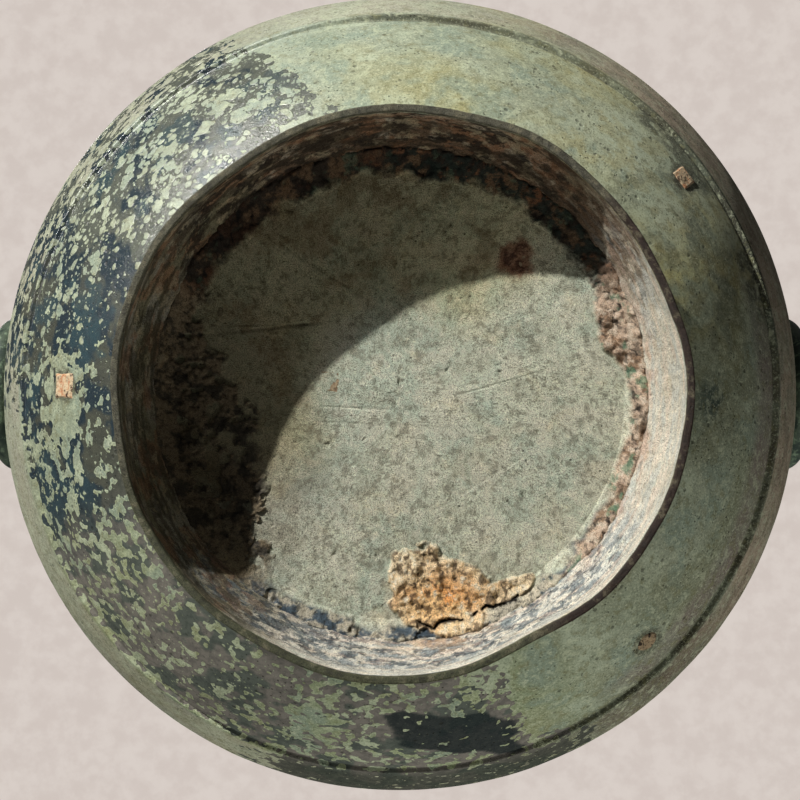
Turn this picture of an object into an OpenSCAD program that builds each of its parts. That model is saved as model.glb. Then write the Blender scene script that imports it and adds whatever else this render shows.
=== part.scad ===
// Bronze hu: a footed storage vessel with a round belly, a waisted neck, two mask
// escutcheons and two loose ring handles. It stands on its foot, Z is its axis, and
// the origin is the centre of the rim that the foot stands on. Sizes are millimetres.

/* [Body] */
// Outer diameter of the round belly
belly_d = 300; // [280:1:320]
// Thickness of the cast wall
wall = 2.8; // [2.2:0.1:3.6]
// Diameter of the flat base under the belly
base_d = 168; // [160:1:176]
// Thickness of the base plate
base_t = 3.4; // [2.6:0.1:4.5]

/* [Neck and mouth] */
// Outer diameter at the waist of the neck
neck_d = 108; // [98:1:118]
// Height of the waist above the top of the belly's round
waist_rise = 32; // [26:1:38]
// Height of the flare above the waist
flare_h = 40; // [34:1:46]
// Height of the upright lip
lip_h = 16; // [12:0.5:20]
// How far the lip stands proud of the flare, outside
lip_proud = 2.4; // [1.6:0.1:3]
// Thickness of the lip
lip_t = 4.2; // [3.2:0.1:5]

/* [Bands] */
// How far a raised band stands proud of the belly
band_proud = 1.6; // [1:0.1:2.2]
// Width of a band, as the angle that it takes on the belly's round
band_angle = 10; // [8:0.5:12]
// Height of the lower band's middle on the belly, in degrees of latitude
low_band_lat = -25; // [-28:0.5:-22]
// Height of the widest band's middle, in degrees of latitude
wide_band_lat = 1; // [-1:0.5:2]
// Height of the shoulder band's middle, in degrees of latitude
shoulder_band_lat = 46; // [45:0.5:48]

/* [Foot] */
// Height of the foot ring
foot_h = 34; // [28:1:40]
// How far the rim that the foot stands on lies outside the edge of the base
foot_splay = 4; // [2:0.5:8]
// Thickness of the foot's wall at its rim
foot_rim_t = 2.4; // [2:0.1:3.2]
// Height of the upright band at the bottom of the foot
foot_band_h = 11; // [8:0.5:14]
// Step from that band in to the flared wall
foot_step = 1.6; // [1:0.1:2.4]
// How far the foot's waist lies inside the edge of the base
foot_waist_in = 2.75; // [2:0.25:4]
// Height of the foot's waist
foot_waist_h = 25; // [21:0.5:27]
// Thickness of the foot's wall where it meets the base
foot_top_t = 7; // [5.5:0.5:9]
// Width of the solder run in the corner under the base
solder_w = 7; // [5:0.5:9]
// Depth of the solder run down the foot's wall
solder_h = 6; // [4:0.5:8]

/* [Masks] */
// Height of the mask's middle on the belly, in degrees of latitude
mask_lat = 26; // [25:0.5:27]
// Width of the mask
mask_w = 53; // [48:1:58]
// Thickness of the mask's plate
plate_t = 2; // [1.6:0.1:2.2]
// Height of the scrolls above the wall
scroll_h = 3.6; // [3.2:0.1:4]
// Height of the brow and nose above the wall
ridge_h = 5; // [4.6:0.1:5.6]
// Height of the eyelids above the wall
lid_h = 2.9; // [2.6:0.1:3.2]
// Radius of an eye boss
eye_r = 3.8; // [3.2:0.1:4.4]
// Thickness of the nose loop's bar
loop_bar_d = 5.4; // [4.6:0.1:6]
// Radius of the hole in the nose loop
loop_bore_r = 5.7; // [5.4:0.1:6.2]
// Diameter of the tang that holds the mask through the wall
tang_d = 6; // [5:0.5:7]
// Diameter of the tang's hammered head, inside the vessel
tang_head_d = 11; // [9:0.5:13]
// Thickness of that head
tang_head_t = 1.8; // [1.4:0.1:2.4]

/* [Rings] */
// Outer diameter of a ring handle
ring_d = 61; // [56:1:66]
// Thickness of a ring's bar
ring_bar_d = 8.8; // [8:0.1:9.4]
// Running gap between a ring and what it hangs on or rests against
ring_gap = 0.3; // [0.2:0.05:0.5]

/* [Spacers] */
// Width of a casting spacer in the wall
spacer_w = 9; // [7:0.5:11]
// Height of a casting spacer in the wall
spacer_h = 11; // [9:0.5:13]
// How deep a spacer's face lies under the wall's outer face
spacer_sunk = 0.5; // [0.2:0.1:1]
// Diameter of the round spacer in the base
base_spacer_d = 11; // [8:0.5:13]
// Distance of the round base spacer from the axis
base_spacer_at = 57; // [50:1:62]
// Size of the square spacer in the base
base_square = 6; // [4:0.5:8]
// Distance of the square base spacer from the axis
base_square_at = 23; // [18:1:30]

/* [Hidden] */
$fn = 96;
eps = 0.01;

belly_r = belly_d / 2;
base_r = base_d / 2;
// Height of the belly's middle: its round meets the edge of the flat base.
belly_z = foot_h + sqrt(belly_r * belly_r - base_r * base_r);

// The neck is one concave round, tangent to the belly.
neck_r = neck_d / 2;
waist_z = belly_z + belly_r + waist_rise;
waist_dz = belly_r + waist_rise;
neck_round = (neck_r * neck_r + waist_dz * waist_dz - belly_r * belly_r) / (2 * (belly_r - neck_r));
neck_round_x = neck_r + neck_round;
// Where the belly's round passes into the neck's
join = belly_r / (belly_r + neck_round);
join_r = neck_round_x * join;
join_z = belly_z + waist_dz * join;
flare_z = waist_z + flare_h;
flare_r = neck_round_x - sqrt(neck_round * neck_round - flare_h * flare_h);
mouth_z = flare_z + lip_h;
lip_r = flare_r + lip_proud;

// Foot outline, in section
foot_r = base_r + foot_splay;
foot_waist_r = base_r - foot_waist_in;
foot_wall_r = foot_r - foot_step;
foot_top_bore_r = base_r - foot_top_t;
// The fillet that carries the foot's waist out to the edge of the base
foot_fillet = ((base_r - foot_waist_r) ^ 2 + (foot_h - foot_waist_h) ^ 2) / (2 * (base_r - foot_waist_r));
foot_fillet_steps = 8;
foot_inner_band_r = foot_r - foot_rim_t;
foot_inner_waist_r = foot_top_bore_r + 1;
foot_inner_waist_z = foot_h - solder_h;

// The mask is drawn on a grid that is 53 units wide.
mask_unit = mask_w / 53;
eye_across = 9.3 * mask_unit;
eye_down = 2 * mask_unit;

// Nose loop and the ring that hangs in it. The ring's bar lies low in the hole.
loop_lat = mask_lat - 6.5;
ring_bar_r = ring_bar_d / 2;
ring_r = (ring_d - ring_bar_d) / 2;
loop_bar_r = loop_bar_d / 2;
loop_out = plate_t + loop_bore_r + 0.6;
loop_x = (belly_r + loop_out) * cos(loop_lat);
loop_z = belly_z + (belly_r + loop_out) * sin(loop_lat);
ring_drop = loop_bore_r - ring_bar_r - ring_gap;
pivot_x = loop_x;
pivot_z = loop_z - ring_drop;

// The ring leans out until its lowest point rests on the widest band.
rest_r = belly_r + band_proud + ring_bar_r + ring_gap;
pivot_out = sqrt(pivot_x ^ 2 + (pivot_z - belly_z) ^ 2);
pivot_lat = atan2(pivot_z - belly_z, pivot_x);
ring_reach = 2 * ring_r;
hang = acos((pivot_out ^ 2 + ring_reach ^ 2 - rest_r ^ 2) / (2 * pivot_out * ring_reach));
// Angle of the ring's plane out from the vertical
ring_lean = pivot_lat + hang - 90;

// The tang's head touches the inside of the round wall with the edge of its flat face.
tang_head_x = sqrt((belly_r - wall) ^ 2 - (tang_head_d / 2) ^ 2);

// Casting spacers: [turn about the axis, latitude, share of the usual size]
right_spacer_at = [1.4, -41.6, 1];
back_spacer_at = [142.7, -36, 0.85];
front_spacer_at = [225, -38, 0.8];
upper_front_spacer_at = [285, 30, 0.9];
upper_back_spacer_at = [60, 30, 0.9];
upper_left_spacer_at = [150, 30, 0.9];
wall_spacers = [
    right_spacer_at, back_spacer_at, front_spacer_at,
    upper_front_spacer_at, upper_back_spacer_at, upper_left_spacer_at,
];
round_spacer_turn = 129.9;
square_spacer_turn = 10.3;

bronze_green = [0.50, 0.56, 0.45];
bronze_dark = [0.22, 0.27, 0.25];
earth_grey = [0.56, 0.52, 0.44];
spacer_brown = [0.60, 0.43, 0.29];
spacer_red = [0.36, 0.20, 0.15];

// Moves to the belly's middle, and turns +X to point out of the wall there.
module on_belly(turn, lat) {
    translate([0, 0, belly_z]) rotate([0, 0, turn]) rotate([0, -lat, 0]) children();
}

// Half of a round in section, on the outer side of the axis and above a floor
module half_round(r, floor_z, top_z) {
    intersection() {
        translate([0, belly_z]) circle(r, $fn = 180);
        translate([0, floor_z]) square([r + 1, top_z - floor_z]);
    }
}

// The neck in section, from the axis out to its concave round, less a wall thickness
module neck_section(inset) {
    difference() {
        translate([0, join_z]) square([join_r - inset * join_r / belly_r, flare_z - join_z + eps]);
        translate([neck_round_x, waist_z]) circle(neck_round + inset, $fn = 180);
    }
}

// A raised band in section, between two latitudes of the belly
module band_section(lat) {
    low = belly_z + belly_r * sin(lat - band_angle / 2);
    high = belly_z + belly_r * sin(lat + band_angle / 2);
    intersection() {
        translate([0, belly_z]) circle(belly_r + band_proud, $fn = 180);
        translate([belly_r / 2, low]) square([belly_r, high - low]);
    }
}

module body_section() {
    difference() {
        union() {
            half_round(belly_r, foot_h, join_z + eps);
            neck_section(0);
            translate([flare_r - wall, flare_z]) square([lip_r - flare_r + wall, lip_h]);
            band_section(low_band_lat);
            band_section(wide_band_lat);
            band_section(shoulder_band_lat);
        }
        half_round(belly_r - wall, foot_h + base_t, join_z + 2 * eps);
        neck_section(wall);
        translate([0, flare_z - eps]) square([lip_r - lip_t, lip_h + 1]);
    }
}

// A straight-sided bar that points out of the belly's wall
module wall_bar(w, h) {
    translate([belly_r - 3 * wall, -w / 2, -h / 2]) cube([4 * wall, w, h]);
}

module spacer_bar(at) {
    on_belly(at[0], at[1]) wall_bar(spacer_w * at[2], spacer_h * at[2]);
}

module tang() {
    translate([tang_head_x - tang_head_t / 2, 0, 0]) rotate([0, 90, 0])
        cylinder(d = tang_d, h = 2 * wall + plate_t / 2);
}

module round_base_spacer_bar(h) {
    rotate([0, 0, round_spacer_turn])
        translate([base_spacer_at, 0, foot_h]) cylinder(d = base_spacer_d, h = h);
}

module square_base_spacer_bar(h) {
    rotate([0, 0, square_spacer_turn])
        translate([base_square_at - base_square / 2, -base_square / 2, foot_h])
            cube([base_square, base_square, h]);
}

module vessel_body() {
    color(bronze_green)
    difference() {
        rotate_extrude($fn = 180) body_section();
        for (at = wall_spacers) spacer_bar(at);
        for (side = [0, 180]) on_belly(side, mask_lat) tang();
        round_base_spacer_bar(base_t);
        square_base_spacer_bar(base_t);
    }
}

// Points of the fillet from the foot's waist out to the edge of the base
function foot_fillet_points() = [
    for (i = [0 : foot_fillet_steps])
        let (z = foot_waist_h + (foot_h - foot_waist_h) * i / foot_fillet_steps)
            [foot_waist_r + foot_fillet - sqrt(foot_fillet ^ 2 - (z - foot_waist_h) ^ 2), z]
];

module foot_ring() {
    color(bronze_green)
    rotate_extrude($fn = 180) polygon(concat(
        [[foot_inner_band_r, 0], [foot_r, 0], [foot_r, foot_band_h], [foot_wall_r, foot_band_h]],
        foot_fillet_points(),
        [
            [foot_top_bore_r, foot_h],
            [foot_inner_waist_r, foot_inner_waist_z],
            [foot_inner_band_r - foot_step / 2, foot_band_h],
        ]
    ));
}

// Lead solder and packing that fill the corner between the base and the foot
module foot_solder_run() {
    color(earth_grey)
    rotate_extrude($fn = 180) polygon([
        [foot_top_bore_r, foot_h],
        [foot_top_bore_r - solder_w, foot_h],
        [foot_top_bore_r - solder_w * 0.65, foot_h - solder_h * 0.35],
        [foot_top_bore_r - solder_w * 0.2, foot_h - solder_h * 0.6],
        [foot_inner_waist_r, foot_inner_waist_z],
    ]);
}

// A flat outline carried through the wall and up to a given height above it
module relief(h) {
    intersection() {
        translate([belly_r * 0.8, 0, 0]) rotate([90, 0, 90])
            linear_extrude(belly_r * 0.4) scale(mask_unit) children();
        sphere(belly_r + h, $fn = 180);
    }
}

module both_sides() {
    children();
    mirror([1, 0]) children();
}

// A band bent round a centre, with a boss in the middle: one curl of the mask
module curl(r, bar, boss) {
    difference() {
        circle(r);
        circle(r - bar);
        translate([0, -r]) square([r / 2.5, r]);
    }
    circle(boss);
}

module plate_outline() {
    polygon([[-10, 13], [0, 26], [10, 13]]);
    polygon([[-20, 14], [20, 14], [21, -2], [13, -14], [6, -20], [-6, -20], [-13, -14], [-21, -2]]);
    both_sides() {
        translate([16.5, 11.5]) circle(10);
        translate([17.5, -6]) circle(7);
    }
}

// Horns, cheeks and the three leaves of the crest
module scroll_outline() {
    both_sides() {
        translate([16.5, 11.5]) curl(9, 3, 2.6);
        translate([17.5, -6]) curl(6, 2.2, 1.8);
        polygon([[4.4, 12.2], [6.2, 16.8], [7, 12.6]]);
    }
    polygon([[-3.5, 15], [0, 24], [3.5, 15], [0, 11]]);
}

// A pointed eyelid: where two rounds cross
module lid_outline() {
    both_sides() translate([eye_across, -eye_down] / mask_unit) rotate(8) intersection() {
        translate([0, 2.9]) circle(7.5);
        translate([0, -2.9]) circle(7.5);
    }
}

// The nose with its nostrils, and the brows
module ridge_outline() {
    polygon([[-2.2, 9], [2.2, 9], [4.2, -13], [-4.2, -13]]);
    both_sides() {
        translate([3.8, -9.6]) circle(2.8);
        difference() {
            translate([9, 1.5]) circle(7.8);
            translate([9.4, -1.5]) circle(7.2);
            translate([0, -8]) square([20, 9.3]);
        }
    }
}

module nose_loop() {
    on_belly(0, loop_lat)
        translate([belly_r + loop_out, 0, 0]) rotate([90, 0, 0])
            rotate_extrude($fn = 96) translate([loop_bore_r + loop_bar_r, 0]) circle(loop_bar_r, $fn = 48);
}

module mask() {
    color(bronze_dark) {
        difference() {
            union() {
                on_belly(0, mask_lat) {
                    relief(plate_t) plate_outline();
                    relief(lid_h) lid_outline();
                    relief(scroll_h) scroll_outline();
                    relief(ridge_h) ridge_outline();
                    for (side = [-1, 1]) translate([belly_r + plate_t * 0.7, side * eye_across, -eye_down])
                        sphere(eye_r, $fn = 48);
                }
                nose_loop();
            }
            translate([0, 0, belly_z]) sphere(belly_r, $fn = 180);
            on_belly(0, loop_lat) translate([belly_r + loop_out, 0, 0])
                rotate([90, 0, 0]) cylinder(r = loop_bore_r, h = 2 * loop_bar_d, center = true);
        }
        on_belly(0, mask_lat) {
            tang();
            translate([tang_head_x - tang_head_t, 0, 0]) rotate([0, 90, 0])
                cylinder(d = tang_head_d, h = tang_head_t);
        }
    }
}

// The ring hangs from the loop and leans on the widest band.
module ring() {
    color(bronze_dark)
    translate([pivot_x, 0, pivot_z]) rotate([0, -ring_lean, 0]) translate([0, 0, -ring_r])
        rotate([0, 90, 0]) rotate_extrude($fn = 120) translate([ring_r, 0]) circle(ring_bar_r, $fn = 60);
}

module wall_spacer(at) {
    color(spacer_brown)
    intersection() {
        spacer_bar(at);
        translate([0, 0, belly_z]) difference() {
            sphere(belly_r - spacer_sunk, $fn = 180);
            sphere(belly_r - wall, $fn = 180);
        }
    }
}

module on_left() {
    rotate([0, 0, 180]) children();
}

vessel_body();
foot_ring();
foot_solder_run();
mask();  // right_mask
on_left() mask();  // left_mask
ring();  // right_ring
on_left() ring();  // left_ring
wall_spacer(right_spacer_at);  // right_spacer
wall_spacer(back_spacer_at);  // back_spacer
wall_spacer(front_spacer_at);  // front_spacer
wall_spacer(upper_front_spacer_at);  // upper_front_spacer
wall_spacer(upper_back_spacer_at);  // upper_back_spacer
wall_spacer(upper_left_spacer_at);  // upper_left_spacer
color(spacer_red) round_base_spacer_bar(base_t);  // round_base_spacer
color(spacer_brown) square_base_spacer_bar(base_t);  // square_base_spacer
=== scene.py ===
# Bronze hu: looks of the vessel, seen from under its foot, over its CAD frame.
import math
import bpy
import numpy as np
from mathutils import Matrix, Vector


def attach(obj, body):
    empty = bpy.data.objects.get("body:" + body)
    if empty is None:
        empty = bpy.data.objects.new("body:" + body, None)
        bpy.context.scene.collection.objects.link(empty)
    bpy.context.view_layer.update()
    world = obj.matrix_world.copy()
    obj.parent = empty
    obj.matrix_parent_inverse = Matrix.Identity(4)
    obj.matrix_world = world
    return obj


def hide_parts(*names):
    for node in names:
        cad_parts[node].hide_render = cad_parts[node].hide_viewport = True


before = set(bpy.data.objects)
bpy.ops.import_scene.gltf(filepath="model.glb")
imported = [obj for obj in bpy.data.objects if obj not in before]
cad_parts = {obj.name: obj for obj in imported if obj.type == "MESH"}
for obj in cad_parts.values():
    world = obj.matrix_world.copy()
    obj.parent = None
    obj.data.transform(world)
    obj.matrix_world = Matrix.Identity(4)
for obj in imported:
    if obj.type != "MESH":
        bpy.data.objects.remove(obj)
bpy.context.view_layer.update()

# Driving sizes in millimetres, as in the CAD
BELLY_R = 150
BASE_R = 84
BASE_T = 3.4
WALL = 2.8
FOOT_H = 34
FOOT_R = 88  # outside of the foot's upright band
FOOT_BAND_H = 11
FOOT_STEP = 1.6  # the band stands out this far from the flare over it
FOOT_WAIST_R = 81.25
FOOT_WAIST_H = 25
FOOT_BORE = 77  # inside of the foot near its top
NECK_R = 54
WAIST_DZ = 182  # from the belly's centre up to the neck's narrowest place
FLARE_H = 40
LIP_H = 16
LIP_PROUD = 2.4
LIP_T = 4.2
BANDS = (-25, 1, 46)  # latitudes of the belly's raised bands, in degrees
BAND_HALF = 5  # half a band's width, in degrees
BAND_PROUD = 1.6

# Derived sizes: the belly is a sphere, and the neck's hollow arc meets it at JOIN_LAT
BELLY_Z = FOOT_H + math.sqrt(BELLY_R ** 2 - BASE_R ** 2)
NECK_ROUND = (NECK_R ** 2 + WAIST_DZ ** 2 - BELLY_R ** 2) / (2 * (BELLY_R - NECK_R))
NECK_X = NECK_R + NECK_ROUND
JOIN = BELLY_R / (BELLY_R + NECK_ROUND)
JOIN_LAT = math.degrees(math.atan2(WAIST_DZ, NECK_X))
JOIN_Z = BELLY_Z + WAIST_DZ * JOIN
WAIST_Z = BELLY_Z + WAIST_DZ
FLARE_Z = WAIST_Z + FLARE_H
FLARE_R = NECK_X - math.sqrt(NECK_ROUND ** 2 - FLARE_H ** 2)
LIP_R = FLARE_R + LIP_PROUD
MOUTH_Z = FLARE_Z + LIP_H
FOOT_IN = BASE_R - FOOT_WAIST_R
FOOT_FILLET = (FOOT_IN ** 2 + (FOOT_H - FOOT_WAIST_H) ** 2) / (2 * FOOT_IN)

# The picture: its side in pixels, the eye's distance below the foot's rim in millimetres, and how
# many pixels a slope of one takes up from that eye
PICTURE = 800
CAM_D = 564
PX = 1865

# Large odd numbers that scatter the bits of a grid cell's place
SCATTER = (374761393, 668265263, 1103515245, 1274126177, 2246822519)
WORD = 0xFFFFFFFF
FINER = 2.03  # each octave of fbm against the one before it
APART = 17.3  # and how far its grid lies from that one's


def hashed(ix, iy, iz, seed):
    """A repeatable random number from 0 to 1 for each cell of a grid."""
    kx, ky, kz, ks, kt = SCATTER
    h = (ix * kx + iy * ky + iz * kz + seed * ks) & WORD
    h = ((h ^ (h >> 13)) * ks) & WORD
    h = ((h ^ (h >> 16)) * kt) & WORD
    return ((h ^ (h >> 15)) & 0xFFFF) / 65535


def noise(p, seed):
    """Smooth noise from 0 to 1 with features one unit across."""
    i = np.floor(p).astype(np.int64)
    f = p - i
    u = f * f * f * (f * (f * 6 - 15) + 10)
    out = 0
    for dx in (0, 1):
        wx = u[:, 0] if dx else 1 - u[:, 0]
        for dy in (0, 1):
            wy = u[:, 1] if dy else 1 - u[:, 1]
            for dz in (0, 1):
                wz = u[:, 2] if dz else 1 - u[:, 2]
                out = out + wx * wy * wz * hashed(i[:, 0] + dx, i[:, 1] + dy, i[:, 2] + dz, seed)
    return out


def fbm(p, size, octaves=4, seed=1, gain=0.5):
    """Cloudy noise from 0 to 1: ever finer octaves, of which the widest is size millimetres across."""
    q = p / size
    amp = 1
    total = 0
    out = 0
    for k in range(octaves):
        out = out + amp * noise(q + APART * k, seed + 31 * k)
        total += amp
        q = q * FINER
        amp = amp * gain
    return out / total


def stretched(p, times, *rest):
    """fbm noise that is finer upward than sideways."""
    return fbm(p * [1, 1, times], *rest)


def grains(p, size, seed):
    """Rounded crumbs packed side by side: 1 on top of a crumb, 0 in the cracks between them."""
    warp = [fbm(p, 1.4 * size, 2, seed + k) - 0.5 for k in (1, 2)]
    q = p[:, :2] / size + 0.5 * np.stack(warp, 1)
    i = np.floor(q).astype(np.int64)
    near = np.full(len(p), 9)
    for dx in (-1, 0, 1):
        for dy in (-1, 0, 1):
            cx = i[:, 0] + dx
            cy = i[:, 1] + dy
            off = (q[:, 0] - cx - hashed(cx, cy, 0, seed), q[:, 1] - cy - hashed(cx, cy, 7, seed))
            near = np.minimum(near, np.hypot(*off))
    return np.sqrt(np.clip(1 - (near / 0.72) ** 2, 0, 1))


def step(a, b, x):
    """0 before a, 1 after b and smooth between them."""
    t = np.clip((x - a) / (b - a), 0, 1)
    return t * t * (3 - 2 * t)


def span(x, a, b, s):
    """1 between a and b, with edges that are s soft."""
    return step(a - s, a + s, x) * (1 - step(b - s, b + s, x))


def turn(th, c):
    """Signed angle in degrees from c to th, the short way round."""
    return (th - c + 180) % 360 - 180


def arc(th, a, b, s):
    """1 in the sector from a to b degrees, with edges that are s soft."""
    mid = (a + b) / 2
    half = (b - a) / 2
    return 1 - step(half - s, half + s, np.abs(turn(th, mid)))


def spot(th, rho, c, r, wt, wr):
    """A soft oval round the angle c and the picture radius r."""
    return np.exp(-((turn(th, c) / wt) ** 2) - ((rho - r) / wr) ** 2)


def rgb(*c):
    """A colour as screens show it, 0 to 255, turned into linear light."""
    c = np.array(c) / 255
    return np.where(c <= 0.04045, c / 12.92, ((c + 0.055) / 1.055) ** 2.4)


def blend(a, b, w):
    """Colours a with b laid over them by the weights w."""
    w = np.clip(w, 0, 1)[:, None]
    return a * (1 - w) + b * w


def layers(col, *rows):
    """Colours with tones laid over them one after another, each with its own weights."""
    for tone, w in rows:
        col = blend(col, rgb(*tone), w)
    return col


def coat(p, tone):
    """One even tone for all points."""
    return np.tile(rgb(*tone), (len(p), 1))


def seen(p):
    """Where points lie as seen from below: the angle in degrees from the picture's right, counted
    upward, the picture radius in pixels, and the true radius in millimetres."""
    r = np.hypot(p[:, 0], p[:, 1])
    th = np.degrees(np.arctan2(p[:, 1], -p[:, 0])) % 360
    return th, PX * r / (CAM_D + p[:, 2]), r


def mesh_object(name, p, quads, mats):
    """A smooth mesh in the scene from points in millimetres and rows of four point numbers."""
    me = bpy.data.meshes.new(name)
    me.vertices.add(len(p))
    me.vertices.foreach_set("co", (p / 1000).astype(np.float32).ravel())
    me.loops.add(quads.size)
    me.loops.foreach_set("vertex_index", quads.astype(np.int32).ravel())
    me.polygons.add(len(quads))
    me.polygons.foreach_set("loop_start", (np.arange(len(quads)) * 4).astype(np.int32))
    me.polygons.foreach_set("loop_total", np.full(len(quads), 4, np.int32))
    me.polygons.foreach_set("use_smooth", np.ones(len(quads), bool))
    for mat in mats:
        me.materials.append(mat)
    me.update(calc_edges=True)
    ob = bpy.data.objects.new(name, me)
    bpy.context.scene.collection.objects.link(ob)
    return ob


def point_data(me, key, val):
    """Stores one number or one colour for every point of a mesh."""
    if val.ndim == 2:
        at = me.attributes.new(key, "FLOAT_COLOR", "POINT")
        full = np.concatenate([val, np.ones((len(val), 1))], 1)
        at.data.foreach_set("color", full.astype(np.float32).ravel())
    else:
        at = me.attributes.new(key, "FLOAT", "POINT")
        at.data.foreach_set("value", val.astype(np.float32))


def lathe(name, prof, n, shape, paint, mats, which=None):
    """A turned piece: prof is (r, z) rows, shape moves its points, paint gives its point data, and
    which picks each row's material."""
    prof = np.array(prof, float)
    m = len(prof)
    r = np.repeat(prof[:, 0], n)
    z = np.repeat(prof[:, 1], n)
    ang = np.tile(np.arange(n) * 2 * math.pi / n, m)
    p = np.stack([r * np.cos(ang), r * np.sin(ang), z], 1)
    along = np.gradient(prof, axis=0)
    size = np.maximum(np.hypot(along[:, 1], along[:, 0]), 1e-9)
    nr = np.repeat(along[:, 1] / size, n)
    nz = np.repeat(-along[:, 0] / size, n)
    nrm = np.stack([nr * np.cos(ang), nr * np.sin(ang), nz], 1)
    row = np.repeat(np.arange(m), n)
    p = shape(p, nrm, row)
    i = np.arange(m - 1)[:, None] * n
    j = np.arange(n)[None, :]
    k = (j + 1) % n
    quads = np.stack([i + j, i + k, i + n + k, i + n + j], -1).reshape(-1, 4)
    ob = mesh_object(name, p, quads, mats)
    if which is not None:
        ob.data.polygons.foreach_set("material_index", np.repeat(which[: m - 1], n).astype(np.int32))
    for key, val in paint(p, row).items():
        point_data(ob.data, key, val)
    return ob


# Materials
class Nodes:
    """A node tree that is filled from its textures to its output."""

    def __init__(self, name, tree=None):
        if tree is None:
            self.mat = bpy.data.materials.new(name)
            self.mat.use_nodes = True
            tree = self.mat.node_tree
        self.tree = tree
        tree.nodes.clear()

    def new(self, kind, inputs=None, **props):
        """Adds a node, and links or sets its inputs: outputs of other nodes, numbers or colours"""
        n = self.tree.nodes.new(kind)
        for key, value in props.items():
            setattr(n, key, value)
        for key, value in (inputs or {}).items():
            self.put(n.inputs[key], value)
        return n

    def put(self, socket, v):
        if isinstance(v, bpy.types.NodeSocket):
            self.tree.links.new(v, socket)
        elif isinstance(v, (tuple, list, np.ndarray)):
            v = [float(c) for c in v]
            if len(socket.default_value) == 4 and len(v) == 3:
                v.append(1)
            socket.default_value = v
        else:
            socket.default_value = v

    def attr(self, name, out="Fac"):
        """Point data that the mesh carries"""
        return self.new("ShaderNodeAttribute", attribute_name=name).outputs[out]

    def coord(self, out="Object"):
        """The place on the piece itself"""
        return self.new("ShaderNodeTexCoord").outputs[out]

    def noise(self, vec, scale, detail=4, rough=0.55, dist=0):
        """Cloudy noise from 0 to 1"""
        inputs = {"Vector": vec, "Scale": scale, "Detail": detail}
        inputs.update({"Roughness": rough, "Distortion": dist})
        return self.new("ShaderNodeTexNoise", inputs).outputs["Fac"]

    def cells(self, vec, scale):
        """Distance to the nearest of many scattered centres"""
        return self.new("ShaderNodeTexVoronoi", {"Vector": vec, "Scale": scale}).outputs["Distance"]

    def drops(self, vec, scale):
        """The same on bent ground, and the nearest centre's own random number"""
        warp = self.new("ShaderNodeTexNoise", {"Vector": vec, "Scale": scale * 0.9, "Detail": 3})
        bent = {0: warp.outputs["Color"], 1: (1 / scale,) * 3, 2: vec}
        bend = self.new("ShaderNodeVectorMath", bent, operation="MULTIPLY_ADD")
        n = self.new("ShaderNodeTexVoronoi", {"Vector": bend.outputs[0], "Scale": scale})
        pick = self.new("ShaderNodeSeparateColor", {0: n.outputs["Color"]})
        return n.outputs["Distance"], pick.outputs[0]

    def math(self, op, a, b):
        return self.new("ShaderNodeMath", {0: a, 1: b}, operation=op).outputs[0]

    def times(self, a, b):
        return self.math("MULTIPLY", a, b)

    def plus(self, a, b):
        return self.math("ADD", a, b)

    def total(self, *parts):
        """Sum of numbers, each with its weight"""
        out = self.times(*parts[0])
        for part in parts[1:]:
            out = self.plus(out, self.times(*part))
        return out

    def fit(self, v, a, b, c=0, d=1):
        """c where v is a, d where it is b and smooth between them"""
        inputs = dict(enumerate((v, a, b, c, d)))
        return self.new("ShaderNodeMapRange", inputs, interpolation_type="SMOOTHSTEP").outputs[0]

    def mix(self, f, a, b, how="MIX"):
        """Colour a with b laid over it by f"""
        return self.new("ShaderNodeMix", {0: f, 6: a, 7: b}, data_type="RGBA", blend_type=how).outputs[2]

    def lerp(self, f, a, b):
        """Number a where f is 0 and b where it is 1"""
        return self.new("ShaderNodeMix", {0: f, 2: a, 3: b}, data_type="FLOAT").outputs[0]

    def bump(self, height, dist, strength):
        """A normal from small relief; dist in metres is as tall as a height of one"""
        inputs = {"Strength": strength, "Distance": dist, "Height": height}
        return self.new("ShaderNodeBump", inputs).outputs["Normal"]

    def either(self, f, a, b, output):
        """The output of shader a where f is 0 and of b where it is 1"""
        both = self.new("ShaderNodeMixShader", {0: f, 1: a.outputs[0], 2: b.outputs[0]})
        self.new(output, {0: both.outputs[0]})

    def surface(self, colour, rough, normal, metal=0, spec=0.5):
        """The shader and the output"""
        inputs = {"Base Color": colour, "Roughness": rough, "Normal": normal}
        inputs.update({"Metallic": metal, "Specular IOR Level": spec})
        shader = self.new("ShaderNodeBsdfPrincipled", inputs)
        self.new("ShaderNodeOutputMaterial", {0: shader.outputs[0]})
        return self.mat


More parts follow.
